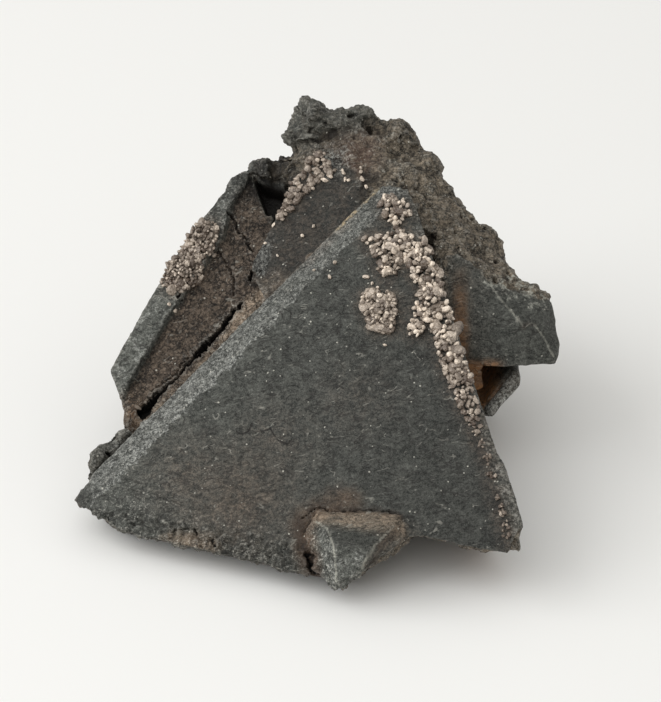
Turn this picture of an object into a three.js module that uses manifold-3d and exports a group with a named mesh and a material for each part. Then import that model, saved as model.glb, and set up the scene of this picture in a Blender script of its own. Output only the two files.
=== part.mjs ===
// Tennantite: a group of tetrahedral crystals grown together on a lump of rough ore, with crusts
// of small pale crystals along its edges. Millimetres, +Z up, the largest crystal face to -Y.
// The origin is the middle of the specimen's outline, on the surface that it rests on.

import * as THREE from 'three';
import { ConvexGeometry } from 'three/addons/geometries/ConvexGeometry.js';
import { mergeVertices } from 'three/addons/utils/BufferGeometryUtils.js';
import Module from 'manifold-3d';

const wasm = await Module();
wasm.setup();

// ---- driving dimensions, in mm and degrees ----

const ADJACENT_FACE = 109.47; // between the outward normals of two faces of a tetrahedron
const BEVEL_SLOPE = 19.47; // between a tetrahedron's face and the narrow face that bevels its edge
const EDGE_DIRECTIONS = { right: 30, left: 150, bottom: 270 }; // outward, in the plane of a face

const MAIN_CENTRE = [0.7, -10.85, 11.5]; // middle of the largest face
const MAIN_HEADING = 20; // the face looks this far to the left of -Y
const MAIN_TILT = 54; // and this far up
const MAIN_ROLL = 1.7;
const MAIN_REACH = 15.3; // from the centre to each edge
const MAIN_OVERGROWTH = { right: 0, left: 1, bottom: 0 }; // how much further each edge has grown
const MAIN_DEPTH = 12;
const SIDE_LEAN = [0.3, -0.1]; // of the side plates' sides, for each millimetre of depth

const LEFT_PLATE_LEVEL = -4; // how far each side plate's face is set back behind the main face
const LEFT_PLATE_BACK = -9;
const LEFT_LAYER_LEVEL = -4.8; // where the left plate's face has broken away
const MIDDLE_PLATE_LEVEL = -2;
const MIDDLE_PLATE_BACK = -8;

const CRUST_GAP = 0.3; // between a crust and the face that it sits on
const OUTLINE_MIDDLE = [0, 2.15]; // of the whole specimen, seen from above

// ---- solids ----

function solidFrom(geometry) {
  const bare = geometry.clone();
  bare.deleteAttribute('normal');
  bare.deleteAttribute('uv');
  const merged = mergeVertices(bare, 1e-4);
  const mesh = new wasm.Mesh({
    numProp: 3,
    vertProperties: new Float32Array(merged.attributes.position.array),
    triVerts: new Uint32Array(merged.index.array),
  });
  return new wasm.Manifold(mesh);
}

function geometryFrom(solid) {
  const mesh = solid.getMesh();
  const geometry = new THREE.BufferGeometry();
  geometry.setAttribute('position', new THREE.BufferAttribute(new Float32Array(mesh.vertProperties), 3));
  geometry.setIndex(new THREE.BufferAttribute(new Uint32Array(mesh.triVerts), 1));
  geometry.computeVertexNormals();
  return geometry;
}

function hull(points) {
  return solidFrom(new ConvexGeometry(points.map(([x, y, z]) => new THREE.Vector3(x, y, z))));
}

function join(solids) {
  return solids.reduce((whole, solid) => whole.add(solid));
}

// Takes away all that lies beyond a plane, given its outward normal and its distance from the origin.
function cutBeyond(solid, normal, distance) {
  const size = 200;
  const block = new THREE.BoxGeometry(size, size, size);
  block.translate(0, 0, distance + size / 2);
  const turn = new THREE.Quaternion().setFromUnitVectors(new THREE.Vector3(0, 0, 1), normal);
  block.applyQuaternion(turn);
  return solid.subtract(solidFrom(block));
}

// A crystal face's own axes: x along its lower edge, y up the face, z out of it.
function faceFrame([x, y, z], heading, tilt, roll) {
  const frame = new THREE.Matrix4().makeTranslation(x, y, z);
  frame.multiply(new THREE.Matrix4().makeRotationZ(THREE.MathUtils.degToRad(-heading)));
  frame.multiply(new THREE.Matrix4().makeRotationX(THREE.MathUtils.degToRad(90 - tilt)));
  frame.multiply(new THREE.Matrix4().makeRotationZ(THREE.MathUtils.degToRad(roll)));
  return frame;
}

function inFrame(solid, frame) {
  return solid.transform(frame.elements);
}

function directionAt(turn, slope) {
  const a = THREE.MathUtils.degToRad(turn);
  const b = THREE.MathUtils.degToRad(slope);
  return new THREE.Vector3(Math.cos(a) * Math.sin(b), Math.sin(a) * Math.sin(b), Math.cos(b));
}

// One tetrahedral crystal, broken off at its depth. Each edge of its face is bevelled, and each chip
// is a break across a corner: [direction in the face, distance from the centre, slope].
function tetrahedralCrystal({ reach, bevel, depth, overgrowth, chips = [] }) {
  const width = 6 * reach;
  const block = new THREE.BoxGeometry(width, width, depth);
  block.translate(0, 0, -depth / 2);
  let solid = solidFrom(block);
  for (const [edge, turn] of Object.entries(EDGE_DIRECTIONS)) {
    const slope = THREE.MathUtils.degToRad(BEVEL_SLOPE);
    const drop = bevel[edge] * Math.sin(slope);
    const edgeReach = reach + (overgrowth?.[edge] ?? 0);
    const outerEdge = directionAt(turn, 90).multiplyScalar(edgeReach).setZ(-drop);
    for (const angle of [BEVEL_SLOPE, ADJACENT_FACE]) {
      const normal = directionAt(turn, angle);
      solid = cutBeyond(solid, normal, normal.dot(outerEdge));
    }
  }
  for (const [turn, distance, slope] of chips) {
    const normal = directionAt(turn, slope);
    solid = cutBeyond(solid, normal, distance * normal.clone().setZ(0).length());
  }
  return solid;
}

// A plate with its outline drawn in its face, from the level of that face down to its back. Its sides
// lean by [x, y] for each millimetre of depth.
function plate(outline, top, bottom, [leanX, leanY] = [0, 0]) {
  const shape = new THREE.Shape(outline.map(([x, y]) => new THREE.Vector2(x, y)));
  const slab = new THREE.ExtrudeGeometry(shape, { depth: top - bottom, bevelEnabled: false });
  slab.translate(0, 0, bottom - top);
  slab.applyMatrix4(new THREE.Matrix4().set(1, 0, -leanX, 0, 0, 1, -leanY, 0, 0, 0, 1, top, 0, 0, 0, 1));
  return solidFrom(slab);
}

// A lump of rough ore: a ball with flat breaks all round it, turned by its own angle.
function lump([x, y, z], [rx, ry, rz], turn) {
  const breaks = 11;
  const goldenTurn = 2.4;
  let solid = solidFrom(new THREE.IcosahedronGeometry(1, 2));
  for (let i = 0; i < breaks; i += 1) {
    const height = 1 - (2 * i + 1) / breaks;
    const angle = turn + i * goldenTurn;
    const ring = Math.sqrt(1 - height * height);
    const normal = new THREE.Vector3(ring * Math.cos(angle), ring * Math.sin(angle), height);
    solid = cutBeyond(solid, normal, 0.84 + 0.1 * Math.sin(5 * angle));
  }
  const place = new THREE.Matrix4().makeTranslation(x, y, z).scale(new THREE.Vector3(rx, ry, rz));
  return inFrame(solid, place);
}

const mainFrame = faceFrame(MAIN_CENTRE, MAIN_HEADING, MAIN_TILT, MAIN_ROLL);

// ---- the crystals ----

const LOST_CORNER = [
  [4.6, -22], [5.6, -15.6], [7.6, -12.9], [9.4, -10.7], [12, -9.5], [16, -9.9], [30, -9.6], [30, -40],
  [4.6, -40],
];

function mainCrystal() {
  const crystal = tetrahedralCrystal({
    reach: MAIN_REACH,
    bevel: { left: 3.3, right: 1.2, bottom: 0.3 },
    overgrowth: MAIN_OVERGROWTH,
    depth: MAIN_DEPTH,
    chips: [
      [163, 20, 95], // lower left corner
      [215, 26.3, 95],
      [249, 19.7, 105],
      [267, 14.9, 109], // lower edge
      [-8, 22, 95], // lower right corner
      [95, 28.3, 80], // top corner
      [42, 19.6, 90],
    ],
  });
  const lostCorner = plate(LOST_CORNER, 0.5, -20, [-0.15, 0.5]);
  return inFrame(crystal.subtract(lostCorner), mainFrame);
}

// A plate behind the main crystal's left edge. Its face has broken away down to a cracked brown
// layer, which leaves a raised rim along its outer edge.
function leftPlate() {
  const outline = [
    [-22.8, -1.2], [-23.3, 1], [-24.3, 2.2], [-26.1, 4.5], [-24.1, 13.6], [-21.9, 21.4], [-19.5, 27.1],
    [-19.2, 28.2], [-16.5, 31.7], [-13.8, 24.3], [-8, 20], [-8, 0], [-18, -6],
  ];
  const layer = [
    [-24.2, -3], [-23.7, 2.7], [-21.5, 11.5], [-18.2, 21.5], [-18.3, 25.5], [-17.2, 29.5], [-10, 28],
    [-4, 10], [-18, -8],
  ];
  const whole = plate(outline, LEFT_PLATE_LEVEL, LEFT_PLATE_BACK, SIDE_LEAN);
  return inFrame(whole.subtract(plate(layer, 0, LEFT_LAYER_LEVEL)), mainFrame);
}

// A narrow plate between the left plate and the main crystal.
function middlePlate() {
  const outline = [
    [-13, 16], [-13.9, 18.6], [-12.8, 23], [-12, 27.9], [-10.2, 30.8], [-8.9, 31.9], [-7.4, 31.9],
    [-5.4, 30], [-3.8, 27], [-2, 20], [-8, 10],
  ];
  return inFrame(plate(outline, MIDDLE_PLATE_LEVEL, MIDDLE_PLATE_BACK, SIDE_LEAN), mainFrame);
}

// A small crystal that pokes out of the lower edge of the main face.
function lowerCrystal() {
  const corners = [
    [1, -8.1, 0.1], [9.3, -7.3, 0.1], [0.1, -10.8, 0], [2.1, -14.4, 0], [5.2, -16.5, 0.9],
    [4.5, -12.4, 2.9], [8.1, -12.1, 2.6], [2.6, -10.2, 1.6], [9, -8.6, 1.2], [7, -14.8, 1.2],
    [10.6, -9.4, 0], [10, -10.7, -0.5], [8.3, -12.7, -0.5], [3, -9, -4], [8, -9, -4], [5, -14, -3],
  ];
  return inFrame(hull(corners), mainFrame);
}

// A smooth dark crystal that juts out to the right, behind the main crystal.
function rightCrystal() {
  return hull([
    [13.3, 7, 23.6], [20.6, 0.9, 16.9], [16.9, -1.7, 13.6], [20.2, -1, 13.3], [24, 0.6, 12.6],
    [22.4, 2, 16.9], [24.5, 2.1, 14.1], [22.7, 5.9, 18.6], [21.8, 5.4, 18.8], [23.7, 5.3, 17.6],
    [12, 4, 19], [11, 7.4, 24], [11.5, 3.2, 19.1], [13, 0, 13.5], [13, 14, 18], [16, 8, 10.5], [23, 8, 12],
    [21, 12, 15],
  ]);
}

// A thin sliver of another crystal, below the right one and across a rusty hollow from it.
function rightSliver() {
  return hull([
    [19.5, 0.6, 11.5], [20.4, 0.9, 11.1], [20.4, 0.4, 10.2], [18.7, -0.9, 8.9], [17.4, -2.2, 7.7],
    [16.9, -1.7, 8.5], [19.3, 9, 12.5], [20.2, 9, 11], [18.4, 9, 8], [16.6, 9, 7],
  ]);
}

// The rusty rock at the bottom of that hollow, from the sliver's foot back to the core.
function hollowFoot() {
  return hull([
    [17, -1.6, 8.3], [17.3, -1.8, 7.7], [14.3, 3, 7.6], [14.3, 3, 5.3], [18.5, 5, 7.8], [16.5, 5, 5.5],
  ]);
}

// The smaller tetrahedral crystals round the back.
function backCrystal(centre, heading, tilt, roll, reach) {
  const crystal = tetrahedralCrystal({
    reach,
    bevel: { left: 0.9, right: 0.9, bottom: 0.9 },
    depth: 1.3 * reach,
    chips: [[88, 1.85 * reach, 80], [205, 1.8 * reach, 80], [-25, 1.75 * reach, 80]],
  });
  return inFrame(crystal, faceFrame(centre, heading, tilt, roll));
}

// ---- the rough ore that the crystals grew on ----

// A broken ridge with knobs along its crest, on a core that ends in the flat break below.
function roughMass() {
  const ridge = hull([
    [-4, 18.5, 27.5], [-3.2, 20.5, 30.2], [0, 21.3, 31.5], [5, 21, 31], [10, 19.3, 28.6], [12.2, 17.2, 27],
    [15, 12.8, 24.2], [17.5, 10, 22.2], [21.5, 5, 18.8], [8, 13, 26], [13.3, 7.2, 23.3], [1, 27, 25],
    [10, 25, 20], [18, 16, 14], [-3.4, 25, 20], [-3, 20, 8], [13, 20, 4], [17, 10, 8],
  ]);
  const core = hull([
    [-9, -6, 0], [-3, -10, 0], [8, -10, 0], [13, -4, 0], [13, 8, 0], [6, 13, 0], [-5, 12, 0], [-10, 4, 0],
    [-14, -3, 8], [12, -8, 10], [15, 3, 10], [12, 18, 6], [-4, 20, 6], [-12, 10, 8], [-9, 14, 16],
    [1, 10, 20], [-1, 25, 18], [8, 23, 16],
  ]);
  const spur = hull([
    [-12, 9, 3], [-12, 13, 11], [-7, 20, 15], [-5, 23, 18], [-1, 23, 7], [-6, 22, 2], [0, 14, 16],
    [-8, 8, 12],
  ]);
  const heel = hull([
    [-1, 24, 4], [12, 22, 3], [16, 14, 3], [10, 12, 1], [15, 21, 10], [9, 24, 12], [1, 24, 15],
    [4, 15, 20], [18, 14, 12],
  ]);
  const shoulder = hull([
    [-6.4, 21.6, 25.9], [-4, 21.3, 25.5], [-1.7, 20.6, 26.3], [-8.7, 22.6, 23.6], [-8.6, 21.6, 20.2],
    [-2.3, 18.5, 20.6], [-6, 25, 20.7], [-2.1, 25, 21.1], [-5, 22.6, 15.4], [-7, 19.5, 15],
  ]);
  const knobs = [
    lump([-1.5, 21.6, 29.1], [2.5, 3.2, 4], 0.4),
    lump([0.9, 21.4, 29], [2, 2.6, 3], 2.2),
    lump([3.6, 21.4, 28.6], [3.5, 3.2, 3.8], 1.9),
    lump([8.2, 20.2, 27.2], [2.4, 2.9, 4], 3.1),
    lump([11, 17.9, 25.4], [2.2, 2.8, 3.2], 5.2),
    lump([16.6, 10.8, 20.4], [2.6, 3, 3], 1.2),
    lump([-3.8, 21.5, 22.6], [2.4, 3.4, 5], 0.9),
    lump([-3, 22.6, 17], [3.2, 3.4, 5], 4.4),
    lump([12.6, 19.5, 17], [4.5, 4.5, 6], 2.6),
    lump([-6.1, 20.6, 24.9], [1.7, 1.8, 1.5], 0.2),
    lump([-4.2, 20.9, 24.2], [1.8, 1.8, 1.5], 1.3),
  ];
  return join([ridge, core, spur, heel, shoulder, ...knobs]);
}

// A rough scrap behind the main crystal's lower left edge.
function leftScrap() {
  return inFrame(hull([
    [-22.4, -1.8, -3], [-23.5, -2.6, -3], [-24.6, -4.6, -3.2], [-25.2, -6.6, -3.4], [-24.8, -8.4, -3.2],
    [-23.9, -9.9, -3.4], [-20, -2, -3], [-22, -3, -6], [-23, -7, -5.5], [-19, -6, -7],
  ]), mainFrame);
}

// A deep pit in the left plate, where its brown layer has fallen out beside the middle plate.
function pit() {
  const outline = [
    [-17.4, 29.3], [-14.5, 24.9], [-13, 25.4], [-12.6, 28], [-14, 28.4], [-15.8, 28.6],
  ];
  return inFrame(plate(outline, -3, -8.2), mainFrame);
}

function cluster() {
  const whole = join([
    mainCrystal(), leftPlate(), middlePlate(), lowerCrystal(), rightCrystal(), rightSliver(),
    hollowFoot(), leftScrap(), roughMass(),
    backCrystal([-8, 18.5, 10.5], 136, 30, 12, 5),
    backCrystal([4, 25.5, 15], 186, 46, 5, 6),
    backCrystal([16, 14, 8], 243, 22, 25, 4),
  ]);
  return cutBeyond(whole.subtract(pit()), new THREE.Vector3(0, 0, -1), 0);
}

// ---- crusts of small pale crystals: outlines on the main face's axes ----

function crust(outline, faceLevel, height) {
  return inFrame(plate(outline, faceLevel + CRUST_GAP + height, faceLevel + CRUST_GAP), mainFrame);
}

const EDGE_CRUST = [
  [-1.7, 26.1], [-0.8, 26.8], [0.7, 26.8], [1.9, 26.1], [2.5, 25], [1.9, 23.9], [2.4, 22.8],
  [4.3, 22.7], [5.5, 22.2], [6.8, 21.2], [8, 19.6], [9.9, 15.7], [11.5, 11.2], [13.2, 8.7],
  [14.9, 5.4], [16.9, 0.8], [18.2, -2.2], [20.6, -7.5], [21.5, -9.3], [20.8, -9.8], [18.4, -4.8],
  [17, -1.8], [15.7, 0.6], [13.4, 3.5], [11, 6.6], [9.4, 9], [7.8, 12], [7.2, 13.3], [5.2, 13.9],
  [5.5, 15.5], [5, 16.9], [3, 19.9], [2.7, 18.3], [1.4, 17.3], [0.7, 18], [-0.5, 20.1],
  [-1.9, 21.5], [-1.1, 22.4], [0.9, 22.5], [1, 23.3], [-0.9, 24.7],
];
const FACE_CRUST = [
  [-0.5, 15.3], [0.3, 15.9], [1.2, 15.7], [2.2, 16.1], [3.3, 15.3], [3.9, 12.1], [3.1, 11.4],
  [1.9, 11.5], [0.1, 13.5],
];
const SMALL_CRUST = [[5.2, 12.8], [5.5, 13.3], [6.3, 13.2], [7, 12.5], [6.6, 11.7], [5.5, 11.5]];
const LEFT_CRUST = [
  [-20.7, 23.1], [-19.4, 22.8], [-18.8, 22], [-18.5, 19.6], [-19.7, 18.2], [-19.1, 16.3], [-20.4, 14.8],
  [-21.9, 14.1], [-23.2, 14.9], [-23.1, 17.6], [-22.3, 19.1], [-21.9, 21.2], [-21.3, 22.5],
];
const MIDDLE_CRUST = [
  [-13.4, 23.6], [-12.7, 25.3], [-12.4, 28.2], [-11.1, 30.7], [-9.4, 31.6], [-7.9, 30.5], [-7.8, 29.7],
  [-10, 30.1], [-11, 26.9], [-11.3, 24.7], [-12.4, 22.8],
];

// ---- the specimen ----

const ore = { color: 0x4a4843, roughness: 0.62, metalness: 0.25 };
const paleCrystal = { color: 0xa99a8a, roughness: 0.4, metalness: 0 };

const specimen = new THREE.Group();

function addPiece(name, solid, finish) {
  const piece = new THREE.Mesh(geometryFrom(solid), new THREE.MeshStandardMaterial(finish));
  piece.name = name;
  specimen.add(piece);
}

addPiece('tennantite_cluster', cluster(), ore);
addPiece('edge_crust', crust(EDGE_CRUST, 0, 0.7), paleCrystal);
addPiece('face_crust', crust(FACE_CRUST, 0, 0.7), paleCrystal);
addPiece('small_crust', crust(SMALL_CRUST, 0, 0.5), paleCrystal);
addPiece('left_plate_crust', crust(LEFT_CRUST, LEFT_PLATE_LEVEL, 0.9), paleCrystal);
addPiece('middle_plate_crust', crust(MIDDLE_CRUST, MIDDLE_PLATE_LEVEL, 0.6), paleCrystal);
specimen.position.set(-OUTLINE_MIDDLE[0], -OUTLINE_MIDDLE[1], 0);

export default specimen;
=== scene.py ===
import itertools
import math

import bpy
import numpy as np
from mathutils import Matrix, Vector
from mathutils.bvhtree import BVHTree


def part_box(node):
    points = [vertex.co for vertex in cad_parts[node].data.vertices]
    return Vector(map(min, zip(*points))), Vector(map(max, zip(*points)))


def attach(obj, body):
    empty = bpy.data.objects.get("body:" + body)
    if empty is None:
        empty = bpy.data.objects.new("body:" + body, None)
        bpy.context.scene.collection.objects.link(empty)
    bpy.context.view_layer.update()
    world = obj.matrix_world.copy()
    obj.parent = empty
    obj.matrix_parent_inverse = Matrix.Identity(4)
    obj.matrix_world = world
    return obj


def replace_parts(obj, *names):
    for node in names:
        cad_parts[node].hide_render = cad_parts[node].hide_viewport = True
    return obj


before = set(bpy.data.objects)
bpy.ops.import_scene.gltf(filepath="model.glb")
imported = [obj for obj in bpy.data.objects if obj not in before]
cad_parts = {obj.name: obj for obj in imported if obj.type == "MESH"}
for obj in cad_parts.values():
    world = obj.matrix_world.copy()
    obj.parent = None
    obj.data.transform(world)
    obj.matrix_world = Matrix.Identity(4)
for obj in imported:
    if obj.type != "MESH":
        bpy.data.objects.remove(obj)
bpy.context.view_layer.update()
bpy.ops.object.select_all(action="DESELECT")


# ---- the studio ----
# The specimen stands on a wide pale sheet, in an even white surround. A broad soft lamp low to its left
# throws its shadow to the right, and a second one hangs in front. A long lens looks down at 30 degrees.

MM = 0.001
CAMERA_PLACE = (0.9, -260.2, 163.55)  # mm
CAMERA_DOWN = 30
LENS = 150
FLOOR_WIDTH = 8  # metres
FLOOR_COLOUR = (0.85, 0.846, 0.83, 1)
SURROUND = (1.0, 0.992, 0.965, 1)
SURROUND_STRENGTH = 0.66
LAMP_COLOUR = (0.99, 0.997, 1.0)
LAMPS = (  # name, place and width in metres, watts
    ("left_lamp", (-0.6, -0.12, 0.4), 0.7, 3.5),
    ("front_lamp", (-0.15, -0.45, 0.75), 0.7, 1.7),
)

camera_data = bpy.data.cameras.new("camera")
camera_data.lens = LENS
camera_data.sensor_width = 36
camera_data.clip_start = 0.01
camera_data.clip_end = 20
camera = bpy.data.objects.new("camera", camera_data)
bpy.context.scene.collection.objects.link(camera)
camera.location = Vector(CAMERA_PLACE) * MM
camera.rotation_euler = (math.radians(90 - CAMERA_DOWN), 0, 0)
bpy.context.scene.camera = camera

bpy.ops.mesh.primitive_plane_add(size=FLOOR_WIDTH, location=(0, 0, 0))
floor = bpy.context.object
floor.name = "floor"
sheet = bpy.data.materials.new("pale_sheet")
sheet.use_nodes = True
sheet_shader = sheet.node_tree.nodes["Principled BSDF"]
sheet_shader.inputs["Base Color"].default_value = FLOOR_COLOUR
sheet_shader.inputs["Roughness"].default_value = 0.9
sheet_shader.inputs["Specular IOR Level"].default_value = 0.1
floor.data.materials.append(sheet)

surround = bpy.data.worlds.new("surround")
surround.use_nodes = True
surround.node_tree.nodes["Background"].inputs["Color"].default_value = SURROUND
surround.node_tree.nodes["Background"].inputs["Strength"].default_value = SURROUND_STRENGTH
bpy.context.scene.world = surround
bpy.context.scene.view_settings.view_transform = "Standard"


def soft_lamp(name, place, width, watts):
    lamp_data = bpy.data.lights.new(name, "AREA")
    lamp_data.shape = "SQUARE"
    lamp_data.size = width
    lamp_data.energy = watts
    lamp_data.color = LAMP_COLOUR
    lamp = bpy.data.objects.new(name, lamp_data)
    bpy.context.scene.collection.objects.link(lamp)
    lamp.location = place
    lamp.rotation_mode = "QUATERNION"
    lamp.rotation_quaternion = Vector(place).to_track_quat("Z", "Y")


for lamp in LAMPS:
    soft_lamp(*lamp)


# ---- the tennantite crystals ----
# One group of dull grey tetrahedral crystals, grown through each other on rough ore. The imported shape
# is remeshed finely, and its faces, its broken brown layer and its ore each get a relief of their own.

MERGED = 0.001  # mm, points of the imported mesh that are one
VOXEL = 0.16  # mm
TRIANGLES = 192000
SHARP = 38  # degrees between two triangles whose edge stays sharp
SEEN_UP = (0, 0.5, 0.866)  # what is up as seen from the front
TO_FRONT = (0, -0.866, 0.5)
MAIN_CENTRE = np.array((0.7, -13.0, 11.5))  # mm, the middle of the main face
MAIN_TURN = (20, 54, 1.7)  # degrees: heading, tilt and roll
BEVEL_SLOPE = 19.47
SIDE_SLOPE = 109.47
LEFT_EDGE, RIGHT_EDGE, BOTTOM_EDGE = 150, 30, 270  # directions across the face, degrees
RIM_LEVEL = -4  # mm out of the main face, for the left plate's rim
LAYER_LEVEL = -4.8  # for its broken brown layer
MIDDLE_LEVEL = -2  # for the middle plate
ON_LEVEL = 0.3  # mm that a face's points may be off its level
BACK_CRYSTALS = (  # centre, then heading, tilt and roll, then reach
    ((-8, 16.35, 10.5), (136, 30, 12), 5),
    ((4, 23.35, 15), (186, 46, 5), 6),
    ((16, 11.85, 8), (243, 22, 25), 4),
)


def face_axes(heading, tilt, roll):
    turn = Matrix.Rotation(math.radians(-heading), 3, "Z")
    turn = turn @ Matrix.Rotation(math.radians(90 - tilt), 3, "X")
    return np.array(turn @ Matrix.Rotation(math.radians(roll), 3, "Z"))


def direction_at(axes, turn, slope):
    a, b = math.radians(turn), math.radians(slope)
    return axes @ np.array((math.cos(a) * math.sin(b), math.sin(a) * math.sin(b), math.cos(b)))


def only(piece):
    bpy.ops.object.select_all(action="DESELECT")
    piece.select_set(True)
    bpy.context.view_layer.objects.active = piece


def merged_copy(node, name):
    mesh = node.data.copy()
    mesh.materials.clear()
    piece = bpy.data.objects.new(name, mesh)
    bpy.context.scene.collection.objects.link(piece)
    only(piece)
    bpy.ops.object.mode_set(mode="EDIT")
    bpy.ops.mesh.select_all(action="SELECT")
    bpy.ops.mesh.remove_doubles(threshold=MERGED * MM)
    bpy.ops.object.mode_set(mode="OBJECT")
    return piece


def points_of(mesh):
    points = np.empty(len(mesh.vertices) * 3)
    mesh.vertices.foreach_get("co", points)
    return points.reshape(-1, 3) / MM


def surface_of(mesh):
    return BVHTree.FromPolygons([v.co for v in mesh.vertices], [p.vertices for p in mesh.polygons])


MAIN_AXES = face_axes(*MAIN_TURN)
OUT_OF_FACE = MAIN_AXES[:, 2]

ore = merged_copy(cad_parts["tennantite_cluster"], "tennantite")
packed = surface_of(ore.data)
remesh = ore.modifiers.new("fine", "REMESH")
remesh.mode = "VOXEL"
remesh.voxel_size = VOXEL * MM
bpy.ops.object.modifier_apply(modifier="fine")

points = points_of(ore.data)
nearest = [packed.find_nearest(v.co) for v in ore.data.vertices]
normals = np.array([hit[1] for hit in nearest])
on_packed = np.array([hit[0] for hit in nearest]) / MM
across, up, out = ((points - MAIN_CENTRE) @ MAIN_AXES).T
side, depth, level = points.T  # mm to the right, back and up
height = SEEN_UP[1] * depth + SEEN_UP[2] * level  # mm up as seen from the front
towards_front = normals @ np.array(TO_FRONT)


def facing(direction, least=0.998):
    return normals @ direction > least


def between(value, low, high):
    """0 below low, rising to 1 at high."""
    return np.clip((value - low) / (high - low), 0, 1)


def until(value, low, high):
    """1 below low, falling to 0 at high."""
    return 1 - between(value, low, high)


def patch(centre, radius, where=1):
    """1 at a place in the main face's plane, falling to 0 at the radius."""
    gone = np.hypot(across - centre[0], up - centre[1]) / radius
    return np.clip(1 - gone, 0, 1) * where


def spot(a, b, centre, near, far):
    """1 within one distance of a place, and 0 beyond another."""
    return until(np.hypot(a - centre[0], b - centre[1]), near, far)


def stroke(line, width, a, b):
    """1 on a slightly shaky line through places whose coordinates are a and b, and 0 at the width from it."""
    shake = 0.1 * np.sin(3.1 * a + 1.7 * b) + 0.07 * np.sin(7.3 * b - 4.1 * a)
    best = np.full(len(a), 99.0)
    for (from_a, from_b), (to_a, to_b) in zip(line[:-1], line[1:]):
        along = np.array((to_a - from_a, to_b - from_b)) / math.hypot(to_a - from_a, to_b - from_b)
        off = np.stack((a + shake - from_a, b - shake - from_b))
        run = np.clip(along @ off, 0, math.hypot(to_a - from_a, to_b - from_b))
        best = np.minimum(best, np.hypot(*(off - np.outer(along, run))))
    return until(best, 0.3 * width, width)


edges = np.empty(len(ore.data.edges) * 2, np.int64)
ore.data.edges.foreach_get("vertices", edges)
edges = edges.reshape(-1, 2)
neighbours = np.bincount(edges.ravel(), minlength=len(points))


def soften(mask, times):
    mask = np.asarray(mask, float)
    for _ in range(times):
        total = np.bincount(edges[:, 0], mask[edges[:, 1]], len(points))
        total += np.bincount(edges[:, 1], mask[edges[:, 0]], len(points))
        mask = 0.5 * mask + 0.5 * total / neighbours
    return mask


def flat_face(axes, centre, edge, reach, drop):
    """The side face that slopes back from an edge of a crystal's face."""
    outward = direction_at(axes, edge, SIDE_SLOPE)
    foot = direction_at(axes, edge, 90) * reach - drop * axes[:, 2]
    return facing(outward) & (abs((on_packed - np.array(centre) - foot) @ outward) < 0.15)


# Which points belong to each crystal, plate and face. Their places are across, up and out of the main
# face, or to the side and up in height as seen from the front, all in mm.
main_face = facing(OUT_OF_FACE) & (abs(out) < ON_LEVEL)
left_bevel = facing(direction_at(MAIN_AXES, LEFT_EDGE, BEVEL_SLOPE))
right_bevel = facing(direction_at(MAIN_AXES, RIGHT_EDGE, BEVEL_SLOPE))
rim = facing(OUT_OF_FACE) & (abs(out - RIM_LEVEL) < ON_LEVEL) & (across < -12)
layer = facing(OUT_OF_FACE) & (abs(out - LAYER_LEVEL) < ON_LEVEL) & (across < -10)
middle = facing(OUT_OF_FACE) & (abs(out - MIDDLE_LEVEL) < ON_LEVEL)
lower_crystal = (abs(across - 5.4) < 6) & (up < -7.2) & (up > -17.5) & (out > 0.12)
ridge_foot = np.interp(side, (13, 15.3, 17.2, 18.6, 21, 22.5), (22.4, 20.7, 18.5, 18.1, 17.5, 16.8))
right_crystal = (side > 12.9) & (height < ridge_foot) & (level > 7) & (depth < 8) & (out < -3)
sliver = (side > 16.4) & (height < 9.5) & (abs(depth + 4.5) < 4.5) & (level > 6.8) & (out < -2.5)
sliver &= height < 6.1 + 1.44 * (side - 16.9)
main_sides = facing(direction_at(MAIN_AXES, RIGHT_EDGE, SIDE_SLOPE))
main_sides |= facing(direction_at(MAIN_AXES, BOTTOM_EDGE, SIDE_SLOPE))
plate_sides = (across < -13.5) & (out > -9.3) & (out < -3.8) & ~layer & ~rim & (up > -1) & (up < 29)
back_faces = np.zeros(len(points), bool)
for centre, turn, reach in BACK_CRYSTALS:
    axes = face_axes(*turn)
    for edge in (LEFT_EDGE, RIGHT_EDGE, BOTTOM_EDGE):
        back_faces |= flat_face(axes, centre, edge, reach, 0.3)
    back_faces |= facing(axes[:, 2]) & (abs((on_packed - np.array(centre)) @ axes[:, 2]) < 0.1)
smooth = main_face | right_bevel | rim | middle | lower_crystal | right_crystal | back_faces | main_sides
smooth |= plate_sides | sliver
rough = ~(smooth | left_bevel | layer)
left_scrap = (side < -19.2) & (height < 5.4) & rough

crust_bed = np.zeros(len(points))  # 1 under the crusts and close round them
for pad in ("edge_crust", "face_crust", "small_crust", "left_plate_crust", "middle_plate_crust"):
    pad_surface = surface_of(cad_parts[pad].data)
    low, high = (np.array(corner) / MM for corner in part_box(pad))
    close = np.all((points > low - 2) & (points < high + 2), axis=1)
    for i in np.flatnonzero(close):
        hit = pad_surface.find_nearest(Vector(points[i] * MM))
        crust_bed[i] = max(crust_bed[i], 1 - max(hit[3] / MM - 0.45, 0) / 0.8)

under_right = between(side, 14, 15.2) * until(height, 10.2, 10.8) * (depth < 9) * (out < -4)
under_right = under_right * ~sliver * ~main_sides

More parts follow.
